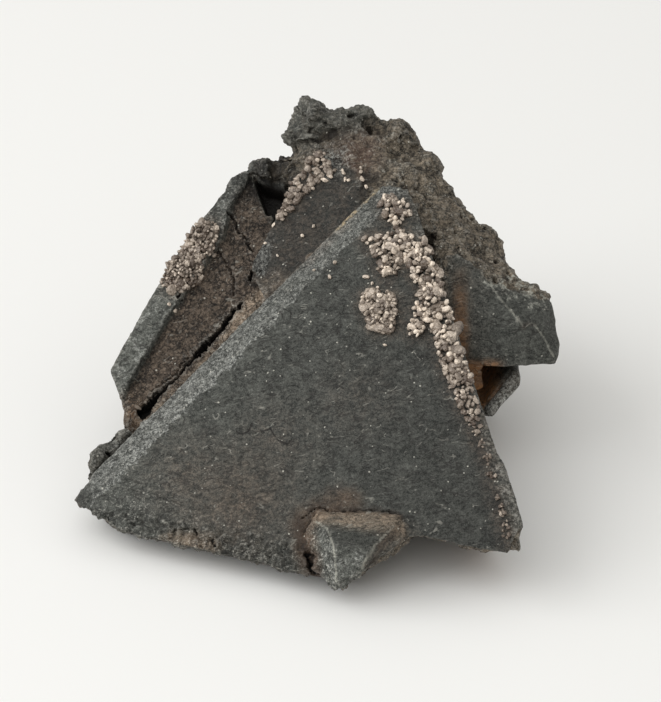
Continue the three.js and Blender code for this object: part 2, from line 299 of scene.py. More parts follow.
# The small lower crystal's worn edges: left of one it is grainy, right of the other brown and dull.
LOWER_LEFT_EDGE = ((1.4, -9.7), (3.2, -10.7), (4.4, -12.6), (5.2, -15.5))
LOWER_RIGHT_EDGE = ((9.2, -9.0), (8.1, -12.1), (6.9, -15.2))
lower_left, lower_right = (
    np.interp(up, [y for x, y in reversed(line)], [x for x, y in reversed(line)])
    for line in (LOWER_LEFT_EDGE, LOWER_RIGHT_EDGE)
)
lower_left_side = lower_crystal * between(lower_left - across, -0.1, 0.3)
lower_right_side = lower_crystal * between(across - lower_right, -0.1, 0.3)
lower_front = lower_crystal * (1 - lower_left_side) * (1 - lower_right_side)
lower_edges = lower_crystal * np.maximum.reduce((
    stroke(LOWER_LEFT_EDGE, 0.8, across, up), stroke(LOWER_RIGHT_EDGE, 0.8, across, up),
))
lower_top = lower_crystal * between(up, -10.6, -9.4)

# Worn pale edges of the right crystal, as seen from the front.
RIGHT_UPPER_EDGE = ((15.3, 20.6), (17.3, 18.2), (18.1, 17.0), (19.3, 15.6), (20.5, 14.1))
RIGHT_LOWER_EDGE = ((21.7, 14.2), (22.6, 13.0), (23.7, 11.0))
right_edges = right_crystal * np.maximum(
    stroke(RIGHT_UPPER_EDGE, 0.8, side, height), stroke(RIGHT_LOWER_EDGE, 0.8, side, height),
)
right_crack = right_crystal * stroke(((20.4, 14.0), (21.0, 14.15), (21.7, 14.25)), 0.3, side, height)

# Smaller features: broken corners, worn tips, the edge of the brown layer, pits and hollows.
corner_block = (abs(out + 2) < 0.7) * between(-11.3 - across, 0, 0.7) * between(up, 16.2, 16.8)
corner_block = corner_block * until(up, 19.5, 22.5)
ledge = (abs(out + 2) < 0.7) * until(up, 16.3, 16.9) * (across < -6)
to_left_edge = direction_at(MAIN_AXES, LEFT_EDGE, 90) @ (points - MAIN_CENTRE).T
tip_rubble = spot(across, up, (-23.3, -11.4), 0.8, 1.9) * (out > -4)
near_bevel = between(to_left_edge, 12.0, 12.4) * (out > -1.7) * (out < 0.5) * (across < 1.5) * (up < 29)
near_bevel = near_bevel * (1 - tip_rubble)
cleft = left_scrap * until(abs(to_left_edge - 16.9), 0.15, 0.6) * (out < -0.9)
scrap = main_face * stroke(((-12.8, -14.0), (-10.6, -13.6), (-8.8, -14.0)), 1.5, across, up)
apex = patch((-0.9, 27.8), 4.2, abs(out) < 1.4)
middle_top = patch((-8.2, 30.6), 3.2, (abs(out + 2) < 1.2) & (across < -5.2))
crown = patch((-18.4, 29.5), 4.6, (out > -5.2) & (out < -2.5))
FRINGE = ((-21.6, -0.9), (-19.8, 1.9), (-18.2, 4.5), (-16.5, 7.6), (-15.2, 10.2), (-14.4, 12))
fringe = (out > -6.2) * (out < -3.6) * np.maximum.reduce((
    stroke(FRINGE, 0.7, across, up),
    stroke(((-15.0, 11.4), (-13.9, 13.6), (-12.7, 15.6)), 1.3, across, up),
    0.6 * patch((-22.2, 1.2), 2.4),
))
border = stroke(((-12.9, 12.6), (-11.6, 14.8), (-10.2, 16.8)), 1.2, across, up) * (out < -0.8) * (out > -5.6)
pit = stroke(((4.7, 29.6), (4.2, 28.3), (3.4, 27.2)), 1.2, side, height) * rough * (level > 14)
behind_pit = spot(side, height, (-5.0, 29.4), 2.0, 3.4) * ~rim * ~middle * (towards_front > 0.25)
blade_inside = sliver * between(height - 5.16 - 1.33 * (side - 17.25), 1.2, 1.7)

# How much of each finish a point has, from 0 to 1: brown tarnish, rust, pale wear, sand, loose grit,
# ragged breaks, painted shade in hollows, and dark stains with painted shadow beside the lower crystal.
brown = np.maximum.reduce((
    1.0 * layer,
    0.9 * patch((0.6, -11.4), 3.0, (abs(out) < 3) & (across < 2)),
    0.8 * patch((10.3, -9.6), 2.4, abs(out) < 3),
    0.9 * patch((2.6, -6.6), 2.2, main_face),
    0.9 * patch((-7, -9), 9, main_face),
    0.7 * patch((-13, -7), 7, main_face),
    0.65 * patch((-5, -2), 6.5, main_face),
    0.5 * patch((2, 4), 6, main_face),
    0.5 * plate_sides * (out < -6),
    0.9 * crust_bed,
    0.9 * ((abs(up - 21) < 3.5) & (abs(across + 5.6) < 3.2) & (abs(out + 1.6) < 1)),
    0.9 * middle,
    0.35 * back_faces,
    0.5 * main_sides,
    0.75 * lower_right_side * between(up, -13.4, -11.6),
    0.9 * lower_crystal * stroke(((0.2, -9.5), (0.9, -11.5), (2.0, -13.5), (3.0, -15.2)), 0.6, across, up),
    0.2 * sliver,
    0.4 * right_crystal * until(side, 14.5, 18),
))
beside_main = until(abs(side - 14.1), 0.2, 1.0) * between(height, 9.5, 11) * until(height, 14, 20.5)
behind_face = (depth < 12) * (out < -2)
around_lower = stroke(((4.2, -6.7), (2.0, -7.3), (-0.3, -9.4), (0.5, -11.5), (1.8, -14.0)), 1.7, across, up)
rust = np.maximum.reduce((
    1.0 * beside_main * behind_face,
    1.0 * under_right * until(side, 17.8, 18.8) * behind_face,
    0.35 * patch((-22.6, 0.4), 2.4, out < -3.8) * behind_face,
    0.26 * around_lower * (abs(out) < 1.6),
    0.07 * patch((-8, -8.5), 8, main_face),
))
red = spot(side, height, (3.2, 32.3), 1.6, 4) * (level > 20)
white_flakes = (level > 12) * (towards_front > -0.3) * np.maximum(
    stroke(((17.0, 18.4), (18.6, 17.9), (20.4, 17.6), (22.2, 16.6)), 1.5, side, height),
    spot(side, height, (20.2, 19.2), 0.8, 2.0),
)
pale = np.maximum.reduce((
    0.2 * rim,
    0.2 * right_bevel,
    0.28 * lower_left_side * until(up, -13.5, -10),
    0.2 * lower_front * until(up, -13, -12.3),
    0.6 * corner_block,
    0.3 * crown,
    0.24 * left_scrap,
    0.3 * border,
    0.6 * apex,
    0.7 * middle_top,
    0.5 * sliver,
    0.2 * lower_right_side * until(up, -13, -11.6),
))
sandy = np.maximum.reduce((
    0.95 * lower_top, 0.8 * ledge, 0.85 * scrap, 0.55 * sliver, 0.25 * middle_top, 0.85 * fringe,
    0.7 * border,
))
grit = np.maximum.reduce((
    0.5 * left_bevel,
    0.6 * lower_left_side,
    0.9 * patch((-18.8, 29), 5, abs(out + 4) < 1.6),
    1.0 * corner_block,
    0.9 * between(-12.2 - up, 0, 1.6) * (abs(out) < 0.6) * (across < 0),
    0.8 * patch((-18, -12), 5, main_face),
    0.5 * tip_rubble,
    0.45 * main_face * until(up + 13.5, 0, 3.5),
    0.7 * apex,
    0.8 * middle_top,
    0.4 * rim * between(up, 17, 21),
    0.4 * fringe,
))
ragged = np.maximum.reduce((
    main_face * until(up + 13.5, 0, 2.2) + (abs(out) < 1.2) * until(up + 12.5, 0, 1.0),
    0.45 * tip_rubble,
    1.0 * apex,
    0.9 * middle_top,
    0.7 * corner_block,
    0.5 * rim * between(up, 18, 22),
    0.4 * until(abs(to_left_edge - 13.25), 0.15, 0.7) * near_bevel,
))
fallen_out = (out < -5.2) & (out > -8.6) & (abs(across + 15) < 3) & (up > 23.5)
# Painted shade: darkens the left plate's pit floor, the blade's inner side, the cleft and the hollow under
# the right crystal.
painted_hollow_shade = np.maximum.reduce((
    0.2 * under_right * between(side, 17.4, 18.6), 1.0 * fallen_out, 0.3 * blade_inside, 0.8 * cleft,
))
edges_worn = np.maximum(lower_edges, right_edges)
above_lower = stroke(((0.2, -9.0), (1.2, -8.1), (3.3, -8), (6.7, -7.3), (9.2, -7.4)), 0.5, across, up)
# Dark stains and cracks, and painted shadow in the cleft left of the small lower crystal.
stain_and_shadow = np.maximum.reduce((
    0.8 * stroke(((-0.4, -9.9), (0.3, -11.6), (1.4, -13.5), (2.6, -15.2)), 1.1, across, up) * (abs(out) < 2),
    0.7 * above_lower * (abs(out) < 1.2),
    0.7 * right_crack,
    0.7 * stroke(((9.6, -9.2), (8.5, -12.1), (7.3, -15.0)), 0.35, across, up) * lower_crystal,
))
# Mostly tone: darker towards the main face's right, round the pit, on the middle plate and the crown.
# Painted shade darkens facets of the lower and right crystals; painted light lifts the hollow under the right
# one.
shade = (  # how much lighter or darker than the plain ore: its tone, and painted shade and light
    main_face * (-0.2 - 0.012 * across) - 0.3 * apex - 0.35 * tip_rubble
    + rim * (0.47 - 0.48 * between(up, 17, 22)) - 0.5 * crown - 0.22 * layer + 0.3 * border
    + fringe * (0.15 + 0.5 * between(up, 5, 12)) - 0.5 * middle - 0.6 * behind_pit - 0.8 * pit
    - 0.12 * right_crystal * between(side + 0.8 * height, 31.8, 32.4) + 0.5 * under_right
    - 0.05 * left_scrap - 0.12 * rough * between(height, 31, 33.5) * (towards_front > -0.3)
    + 0.22 * lower_crystal - 0.15 * lower_right_side
    - 0.45 * lower_front * between(up, -12.5, -12.2) * until(up, -11, -10)
    + 0.1 * lower_front * until(up, -12.8, -12.5)
)
worn_rock = 1.0 * (right_crystal | sliver | (plate_sides & (up < 25))) + 0.35 * lower_crystal

SWELLS = (  # where the surface stands out or falls back: place as seen from the front, radius, mm out
    ((-1.0, 36.9), 1.4, 0.8), ((-2.8, 36.8), 1.8, -1.7), ((-3.7, 33.9), 1.4, 0.6), ((2.0, 36), 1.4, 0.8),
    ((5.5, 35.2), 1.3, -1.0), ((7.9, 34.9), 1.5, 0.7), ((11.5, 31.2), 1.4, 0.6), ((-5.9, 31.2), 1.7, 0.7),
    ((-4.2, 32.7), 1.6, -1.1), ((0.6, 35.7), 1.2, 0.6), ((-9.1, 29.2), 1.6, 0.35), ((-23.1, 1.5), 2.0, 0.8),
    ((-20.4, 3.7), 1.6, 0.6), ((-24.6, -3.1), 1.2, 0.4), ((20.3, -8.4), 2.0, 0.7), ((-19.6, 5.7), 1.8, 0.5),
)
swell = 0.35 * stroke(((17.9, 0.5), (18.9, -2.5), (20.4, -6.0), (20.8, -8.5)), 1.3, side, height)
for (a, b), radius, push in SWELLS:
    swell += push * between(1 - np.hypot(side - a, height - b) / radius, 0, 0.7)
swell = swell * (towards_front > -0.6) * ~left_bevel * ~(main_face & (across < 0))
knob_foot = spot(side, depth, (-1, 20.2), 3.5, 4.5) * between(abs(normals[:, 1]), 0.6, 0.95)
swell += 1.2 * knob_foot * until(abs(level - 29.2), 0.4, 2.0)
swell = soften(swell, 3) - 0.7 * soften(blade_inside, 1) - 0.6 * soften(cleft, 1)

for name, mask, times in (  # each mask, and how many times it is softened
    ("smooth", smooth, 3), ("worn_rock", worn_rock, 3), ("rough", rough * (1 - 0.45 * left_scrap), 4),
    ("layer", layer, 2), ("grit", grit, 2), ("ragged", np.clip(ragged, 0, 1), 3), ("swell", swell, 0),
    ("ground", between(level, 0.02, 0.8), 0), ("bevel", near_bevel, 1), ("painted_hollow_shade", painted_hollow_shade, 2),
    ("ore", rough * (1 - 0.75 * left_scrap), 2), ("pale", pale, 2), ("brown", brown, 6), ("rust", rust, 4),
    ("sandy", sandy, 2), ("red", red, 0), ("stain_and_shadow", stain_and_shadow, 1), ("shade", shade, 2),
    ("worn_edge", edges_worn, 0), ("flakes", white_flakes, 0),
):
    values = soften(mask, times).astype(np.float32)
    ore.data.attributes.new(name, "FLOAT", "POINT").data.foreach_set("value", values)


class Wire:
    """A value in a node tree. Operators on wires and numbers add the tree's Math nodes."""

    def __init__(self, tree, socket):
        self.tree, self.socket = tree, socket

    def maths(self, operation, *values):
        return self.tree.node("ShaderNodeMath", {"operation": operation}, values)

    def __add__(self, other):
        return self.maths("ADD", self, other)

    def __sub__(self, other):
        return self.maths("SUBTRACT", self, other)

    def __rsub__(self, other):
        return self.maths("SUBTRACT", other, self)

    def __mul__(self, other):
        return self.maths("MULTIPLY", self, other)

    def __truediv__(self, other):
        return self.maths("DIVIDE", self, other)

    __radd__, __rmul__ = __add__, __mul__

    def most(self, other):
        return self.maths("MAXIMUM", self, other)

    def least(self, other):
        return self.maths("MINIMUM", self, other)

    def __abs__(self):
        return self.maths("ABSOLUTE", self)

    def band(self, low, high):
        """0 below low, 1 above high, and smooth between them."""
        sockets = {"Value": self, "From Min": low, "From Max": high}
        return self.tree.node("ShaderNodeMapRange", {"interpolation_type": "SMOOTHSTEP"}, sockets)

    def close_to(self, value, near, far):
        """1 within one distance of a value, and 0 beyond another."""
        return 1 - abs(self - value).band(near, far)


class Tree:
    """A node tree that a material or a relief is written in. Places in it are in mm."""

    def __init__(self, nodes):
        self.nodes = nodes
        nodes.nodes.clear()

    def node(self, kind, settings={}, sockets={}, output=0):
        made = self.nodes.nodes.new(kind)
        for name, value in settings.items():
            setattr(made, name, value)
        for place, value in sockets.items() if isinstance(sockets, dict) else enumerate(sockets):
            if isinstance(value, Wire):
                self.nodes.links.new(made.inputs[place], value.socket)
            else:
                made.inputs[place].default_value = value
        return Wire(self, made.outputs[output])

    def noise(self, place, grain, detail=2, roughness=0.5):
        sockets = {"Vector": place, "Scale": 1 / grain, "Detail": detail, "Roughness": roughness}
        return self.node("ShaderNodeTexNoise", {}, sockets)

    def cells(self, place, grain, feature="F1", metric="EUCLIDEAN"):
        settings, sockets = {"feature": feature, "distance": metric}, {"Vector": place, "Scale": 1 / grain}
        return self.node("ShaderNodeTexVoronoi", settings, sockets, "Distance")

    def vector(self, operation, *values):
        return self.node("ShaderNodeVectorMath", {"operation": operation}, values)

    def dot(self, *values):
        return self.node("ShaderNodeVectorMath", {"operation": "DOT_PRODUCT"}, values, "Value")

    def scaled(self, vector, amount):
        return self.node("ShaderNodeVectorMath", {"operation": "SCALE"}, {0: vector, "Scale": amount})

    def bent(self, place, grain, amount):
        """A place pushed about by a noise, by up to half an amount."""
        sockets = {"Vector": place, "Scale": 1 / grain, "Detail": 2}
        push = self.vector("SUBTRACT", self.node("ShaderNodeTexNoise", {}, sockets, "Color"), (0.5, 0.5, 0.5))
        return self.vector("ADD", place, self.scaled(push, amount))

    def blocks(self, place, grain):
        """The height of a surface broken into flat-sided bumps, about 0."""
        sockets = {"Vector": place, "Axis": (1, 0.4, 0.2), "Angle": 0.7}
        turned = self.node("ShaderNodeVectorRotate", {"rotation_type": "AXIS_ANGLE"}, sockets)
        return 0.5 - self.cells(turned, grain, "F1", "MANHATTAN")

    def spots(self, place, grain, near, far):
        """Round spots, 1 within one distance of their middles and 0 beyond another, in shares of a grain."""
        return 1 - self.cells(place, grain).band(near, far)

    def hairlines(self, place, grain, width):
        """A net of nearly straight thin cracks."""
        return 1 - self.cells(place, grain, "DISTANCE_TO_EDGE").band(0.4 * width / grain, width / grain)

    def threads(self, place, grain, width, detail=1):
        """Thin winding lines, where a noise crosses its middle value."""
        return self.noise(place, grain, detail).close_to(0.5, 0.3 * width / grain, width / grain)

    def on_main_face(self, place):
        """The place's coordinates across and up the main face, and out of it."""
        from_centre = self.vector("SUBTRACT", place, tuple(MAIN_CENTRE))
        parts = [self.dot(from_centre, tuple(MAIN_AXES[:, axis])) for axis in range(3)]
        return self.node("ShaderNodeCombineXYZ", {}, parts), parts[2]

    def line_distance(self, place, *lines):
        """Distance on a plane from a place to the nearest of some lines drawn on it."""
        best = 99
        for (ax, ay), (bx, by) in [pair for line in lines for pair in zip(line[:-1], line[1:])]:
            along = np.array((bx - ax, by - ay, 0))
            from_start = self.vector("SUBTRACT", place, (ax, ay, 0))
            share = self.node("ShaderNodeClamp", {}, [self.dot(from_start, tuple(along / (along @ along)))])
            gap = self.vector("SUBTRACT", from_start, self.scaled(tuple(along), share))
            length = self.node("ShaderNodeVectorMath", {"operation": "LENGTH"}, [gap], "Value")
            best = length.least(best)
        return best


CRACKS = (  # lines across and up the main face, then level, width and depth, mm
    (((-0.2, -9.4), (0.3, -8.6), (1.2, -8), (3.3, -8)), 0.3, 0.04, 0.3),
    (((3.3, -8), (5.3, -7.5), (6.7, -7.2)), 0.3, 0.02, 0.25),
    (((7.4, -7.2), (9.1, -7.2)), 0.3, 0.05, 0.3),
    (((0.9, -13.0), (1.8, -14.2), (2.6, -15.2)), 0, 0.3, 0.7),
    (((-12.8, -13.1), (-12.2, -12.7), (-11.4, -12.4)), 0, 0.05, 0.35),
    (((-10.9, -12.4), (-10.4, -12.8)), 0, 0.08, 0.35),
    (((-8.8, -13.2), (-8.3, -13.7)), 0, 0.2, 0.4),
    (((-14.5, 14.6), (-15.2, 12.6)), LAYER_LEVEL, 0.18, 1.4),
    (((-15.2, 12.6), (-16.0, 10.9), (-16.5, 9.8)), LAYER_LEVEL, 0.38, 1.6),
    (((-16.6, 9.6), (-17.2, 8.5), (-17.6, 7.9)), LAYER_LEVEL, 0.62, 1.7),
    (((-17.6, 7.9), (-18.5, 6.2), (-19.3, 4.6), (-20.2, 3.2)), LAYER_LEVEL, 0.1, 0.8),
    (((-20.3, 3.1), (-20.7, 2.3)), LAYER_LEVEL, 0.5, 1.6),
    (((-20.8, 2.1), (-21.2, 1.2), (-21.5, 0.6)), LAYER_LEVEL, 0.9, 1.8),
    (((-18.3, 7.6), (-19.3, 5.7), (-20.2, 4.3), (-21.3, 3.2)), LAYER_LEVEL, 0.02, 0.35),
    (((-18.7, 24.5), (-16.8, 22.7), (-15.3, 21.2), (-14.8, 20.5)), LAYER_LEVEL, 0.06, 0.45),
    (((-18.3, 19.9), (-16.9, 18.3), (-15.9, 17.1), (-15.5, 15.3)), LAYER_LEVEL, 0.03, 0.35),
    (((-19.6, 18), (-20.3, 16.6), (-20.8, 15), (-21, 14)), LAYER_LEVEL, 0.3, 0.6),
    (((-14.4, 18.2), (-14.2, 17.5)), LAYER_LEVEL, 0.22, 0.9),
    (((-13.3, 18.3), (-13.2, 17.4), (-13.4, 16.3)), MIDDLE_LEVEL, 0.05, 0.5),
    (((-23.1, -4.7), (-22.3, -5.7), (-22.4, -6.9), (-23.1, -7.4), (-23.9, -7.8)), -3, 0.15, 0.5),
)
CRACK_LIP = 0.13  # mm over which a crack's wall falls away
CRACK_REACH = (1.2, 1.6)  # mm from a crack's level to where it fades and ends
DENTS = (  # crescents and short lines on the main face, mm
    ((-9.3, -1.4), (-8.6, -1.6), (-8, -1.1), (-8, -0.4)), ((-6.7, -1.1), (-6, -0.5), (-5.2, -1.3)),
    ((-4.9, -1.6), (-3.8, -1.9), (-3.5, -1.4)),
)


def crack_depth(tree, place):
    """How deep the cracks are at a place, in mm."""
    flat, out_of_face = tree.on_main_face(place)
    wavy = tree.vector("MULTIPLY", tree.bent(tree.bent(flat, 1.4, 0.9), 0.5, 0.75), (1, 1, 0))
    depth = 0
    for line, level, width, deepest in CRACKS:
        near = 1 - tree.line_distance(wavy, line).band(0.35 * width, 0.35 * width + CRACK_LIP)
        depth = (near * out_of_face.close_to(level, *CRACK_REACH) * deepest).most(depth)
    return depth


def relief_tree(piece, write):
    """Runs a Geometry Nodes tree on a piece: write() turns its geometry into the new one."""
    tree = Tree(bpy.data.node_groups.new("relief", "GeometryNodeTree"))
    tree.nodes.interface.new_socket("Geometry", in_out="INPUT", socket_type="NodeSocketGeometry")
    tree.nodes.interface.new_socket("Geometry", in_out="OUTPUT", socket_type="NodeSocketGeometry")
    shape = write(tree, tree.node("NodeGroupInput"))
    tree.nodes.links.new(tree.nodes.nodes.new("NodeGroupOutput").inputs[0], shape.socket)
    only(piece)
    piece.modifiers.new("relief", "NODES").node_group = tree.nodes
    bpy.ops.object.modifier_apply(modifier="relief")


def mask_in(tree, name):
    return tree.node("GeometryNodeInputNamedAttribute", {"data_type": "FLOAT"}, {"Name": name})


def place_in(tree):
    return tree.scaled(tree.node("GeometryNodeInputPosition"), 1 / MM)


def blurred_place(tree, times, weight):
    sockets = {"Value": tree.node("GeometryNodeInputPosition"), "Iterations": times, "Weight": weight}
    return tree.node("GeometryNodeBlurAttribute", {"data_type": "FLOAT_VECTOR"}, sockets)


def pushed_out(tree, shape, height):
    """Moves the surface out by a height in mm."""
    move = tree.scaled(tree.node("GeometryNodeInputNormal"), height * MM)
    return tree.node("GeometryNodeSetPosition", {}, {"Geometry": shape, "Offset": move})


def stored(tree, shape, name, value):
    settings = {"data_type": "FLOAT", "domain": "POINT"}
    return tree.node("GeometryNodeStoreNamedAttribute", settings, {0: shape, "Name": name, "Value": value})


def fused(tree, shape):
    """Runs the lumps of ore into one another, and wears the crystals' edges a little."""
    shape = stored(tree, shape, "crack", crack_depth(tree, place_in(tree)))
    for name, times, share in (("rough", 40, 1), ("smooth", 3, 0.8), ("worn_rock", 7, 0.9)):
        weight = mask_in(tree, name) * mask_in(tree, "ground") * share
        sockets = {"Geometry": shape, "Position": blurred_place(tree, times, weight)}
        shape = tree.node("GeometryNodeSetPosition", {}, sockets)
    return shape


def broken(tree, shape):
    """Gives the ore its larger breaks and swellings."""
    place = tree.bent(place_in(tree), 2.5, 1.6)
    swell = tree.noise(place_in(tree), 4, 2) - 0.5
    waves = tree.noise(place_in(tree), 2.4, 2) - 0.5
    height = mask_in(tree, "rough") * (tree.blocks(place, 2.8) * 0.55 + swell * 2.4)
    height += mask_in(tree, "smooth") * swell * 0.1 + mask_in(tree, "worn_rock") * waves * 0.5
    height += mask_in(tree, "swell")
    return pushed_out(tree, shape, height * mask_in(tree, "ground"))


def weathered(tree, shape):
    """Gives every surface its own fine relief, and opens the cracks."""
    place = place_in(tree)
    lumps = tree.noise(place, 1.5, 4, 0.6) - 0.5
    fine = tree.noise(place, 0.45, 3, 0.6) - 0.5
    chips = tree.blocks(tree.bent(place, 1.0, 0.7), 1.1)
    flakes = tree.blocks(tree.bent(tree.vector("MULTIPLY", place, (1.5, 1.5, 0.8)), 0.8, 0.5), 0.7)
    grains = 0.5 - tree.cells(place, 0.45)
    holes = tree.spots(tree.bent(place, 0.8, 0.6), 2.0, 0.08, 0.22)
    height = mask_in(tree, "rough") * (lumps * 0.8 + chips * 0.25 + flakes * 0.1 + fine * 0.3 - holes * 0.6)
    height += mask_in(tree, "grit") * (grains * 0.22 + fine * 0.3)
    height += mask_in(tree, "layer") * (lumps * 0.3 + fine * 0.4 + chips * 0.12)
    height += mask_in(tree, "smooth") * (fine * 0.06 + lumps * 0.09)
    height += mask_in(tree, "ragged") * (lumps * 1.1 + chips * 0.4 + fine * 0.3)
    return pushed_out(tree, shape, (height - mask_in(tree, "crack")) * mask_in(tree, "ground"))


def with_hollows(tree, shape):
    """Stores how far each point lies below its surroundings, in mm, near by and further off."""
    for name, times in (("crevice", 5), ("hollow", 60)):
        here = tree.node("GeometryNodeInputPosition")
        drop = tree.vector("SUBTRACT", blurred_place(tree, times, 1.0), here)
        shape = stored(tree, shape, name, tree.dot(drop, tree.node("GeometryNodeInputNormal")) / MM)
    return shape


for step in (fused, broken, weathered, with_hollows):
    relief_tree(ore, step)
thin = ore.modifiers.new("thin", "DECIMATE")
thin.ratio = TRIANGLES / (2 * len(ore.data.polygons))
bpy.ops.object.modifier_apply(modifier="thin")
settled = points_of(ore.data)
settled[:, 2] = np.maximum(settled[:, 2], 0)
ore.data.vertices.foreach_set("co", (settled * MM).ravel())
bpy.ops.object.shade_smooth_by_angle(angle=math.radians(SHARP))


def mixed(tree, base, top, amount):
    """Lays one colour over another by an amount."""
    return tree.node("ShaderNodeMix", {"data_type": "RGBA"}, {0: amount, 6: base, 7: top}, 2)


def new_material(name):
    """A material, its node tree, and the place of a point in mm."""
    material = bpy.data.materials.new(name)
    material.use_nodes = True
    tree = Tree(material.node_tree)
    return material, tree, tree.scaled(tree.node("ShaderNodeTexCoord", {}, {}, "Object"), 1 / MM)


def painted(tree, name):
    return tree.node("ShaderNodeAttribute", {"attribute_name": name}, {}, "Fac")


def finish_material(tree, sockets):
    shader = tree.node("ShaderNodeBsdfPrincipled", {}, sockets)
    tree.nodes.links.new(tree.nodes.nodes.new("ShaderNodeOutputMaterial").inputs["Surface"], shader.socket)


GREY = (0.017, 0.0185, 0.016, 1), (0.122, 0.125, 0.111, 1)  # darkest and lightest
BROWN_ORE = (0.011, 0.009, 0.006, 1), (0.29, 0.238, 0.176, 1)
COAT = (0.011, 0.008, 0.0055, 1), (0.2, 0.152, 0.113, 1)
SAND = (0.05, 0.038, 0.027, 1), (0.34, 0.265, 0.195, 1)
FROST = (0.022, 0.024, 0.022, 1), (0.45, 0.455, 0.425, 1)
RED_ORE = (0.11, 0.06, 0.042, 1)
GRIT_WHITE = (0.5, 0.485, 0.43, 1)
SEAM_BROWN = (0.1, 0.068, 0.043, 1)
SEAM_GOLD = (0.55, 0.43, 0.26, 1)
RUST = (0.25, 0.118, 0.045, 1)
WEAR_AND_HIGHLIGHT_GREY = (0.3, 0.29, 0.26, 1)
WORN_EDGE = (0.33, 0.325, 0.28, 1)
HOLLOW_SHADE_BROWN = (0.03, 0.021, 0.015, 1)
FLAKE_WHITE = (0.4, 0.4, 0.35, 1)
STAIN_AND_SHADOW_BROWN = (0.035, 0.019, 0.011, 1)
SPECK_WHITE = (0.58, 0.56, 0.49, 1)
CRACK_AND_SHADE_BLACK = (0.007, 0.0055, 0.0045, 1)

tennantite, tree, place = new_material("tennantite")
ore.data.materials.append(tennantite)
flat, out_of_face = tree.on_main_face(place)
on_plane = tree.vector("MULTIPLY", tree.bent(flat, 0.8, 0.3), (1, 1, 0))
turned = {"Vector": tree.bent(flat, 2.5, 1.6), "Angle": -0.35}
brushed = tree.node("ShaderNodeVectorRotate", {"rotation_type": "Z_AXIS"}, turned)
brushed = tree.vector("MULTIPLY", brushed, (0.5, 1.2, 1))
cloud = tree.noise(place, 4.5, 3, 0.6).band(0.32, 0.68)
mottle = tree.noise(place, 1.3, 4, 0.65).band(0.35, 0.65)
salt = tree.noise(place, 0.3, 3, 0.75).band(0.34, 0.68)
dust = tree.noise(place, 0.12, 2, 0.7).band(0.3, 0.7)
streaks = tree.noise(brushed, 0.36, 3, 0.65).band(0.36, 0.66)
wrinkles = tree.threads(brushed, 0.9, 0.045, 2) * tree.noise(place, 1.6, 2).band(0.42, 0.54)
wrinkles = wrinkles.most(tree.threads(tree.vector("ADD", brushed, (3.0, 8.0, 5.0)), 0.5, 0.02) * cloud * 0.6)

ore_mask, pale_mask, brown_mask = painted(tree, "ore"), painted(tree, "pale"), painted(tree, "brown")
layer_mask, sandy_mask = painted(tree, "layer"), painted(tree, "sandy")
powder = dust * 0.35 + salt * 0.25 + mottle * 0.2
grey_tone = powder * 1.6 + streaks * 0.3 + cloud * 0.1 - 0.32
grey = mixed(tree, *GREY, grey_tone)
clots = tree.noise(place, 0.8, 3, 0.6).band(0.35, 0.65)
ore_tone = dust * 0.5 + salt * 0.6 + clots * 0.5 + cloud * 0.2 - 0.46
ore_brown = mixed(tree, *BROWN_ORE, ore_tone)
ore_brown = mixed(tree, ore_brown, RED_ORE, painted(tree, "red") * (0.3 + mottle * 0.5))
at_crest = 1 - (tree.dot(place, (0.35, 0, -1)) + 27.5).band(-2.5, 0)
ore_brown = mixed(tree, ore_brown, tree.scaled(grey, 1.15), at_crest.most(cloud * mottle * 0.4) * 0.75)
coat = mixed(tree, *COAT, ore_tone)
sand = mixed(tree, *SAND, ore_tone * 0.9 + 0.12)
colour = mixed(tree, grey, ore_brown, ore_mask * 0.95)
coated = brown_mask * (layer_mask + mottle * 0.45 + streaks * 0.35 + salt * 0.2).least(1)
colour = mixed(tree, colour, coat, coated)
colour = mixed(tree, colour, sand, sandy_mask * (0.55 + mottle * 0.45))

# The bevel along the main face's left edge, paler than the face, with a ragged border and its own lines.
# The values say how far out from the face's middle each of them lies, in mm.
BAND_FROM, INNER_LINE, GROOVE, GOLD_SEAM, BROWN_SEAM = 13.0, 13.3, 15.5, 15.85, 16.2
in_bevel = painted(tree, "bevel").band(0.3, 0.7)
ragged_place = tree.bent(tree.bent(flat, 2.4, 1.4), 0.5, 0.9)
edge_direction = (math.cos(math.radians(LEFT_EDGE)), math.sin(math.radians(LEFT_EDGE)), 0)
from_middle, height_up = tree.dot(ragged_place, edge_direction), tree.dot(flat, (0, 1, 0))
band = from_middle.band(BAND_FROM, BAND_FROM + 0.2) * in_bevel
fading = height_up.band(4.0, 17.0)
frost = mixed(tree, *FROST, dust * 0.7 + salt * 0.7 + clots * 0.3 - 0.42)
inner_line = from_middle.close_to(INNER_LINE, 0.03, 0.2) * in_bevel * mottle
groove = from_middle.close_to(GROOVE, 0.02, 0.14) * in_bevel
knobs = tree.spots(tree.bent(place, 0.6, 0.4), 0.75, 0.25, 0.45)
knobs = knobs * from_middle.close_to(BAND_FROM, 0.15, 0.45) * in_bevel * (1 - fading)
low_end = 1 - height_up.band(-13.0, -5.0)
band_frost = band * (0.7 - fading * 0.26 - low_end * 0.3) * (0.55 + clots * 0.45)
frosted = (pale_mask + mottle * 0.25 + salt * 0.2 - 0.22).band(0.1, 0.75)
frosted = frosted.most(band_frost + inner_line * 0.5 + knobs * 0.7)
colour = mixed(tree, colour, frost, frosted * 0.95)
grain = dust * 0.45 + salt * 0.55
gritty = painted(tree, "grit").most(in_bevel * band * 0.5)
colour = mixed(tree, colour, GRIT_WHITE, gritty * grain.band(0.7, 0.9) * 0.75)
outwards = tree.dot(on_plane, edge_direction)
brown_seam = outwards.close_to(BROWN_SEAM, 0.1, 0.45) * in_bevel * height_up.band(13.0, 16.0)
colour = mixed(tree, colour, SEAM_BROWN, brown_seam * 0.75)
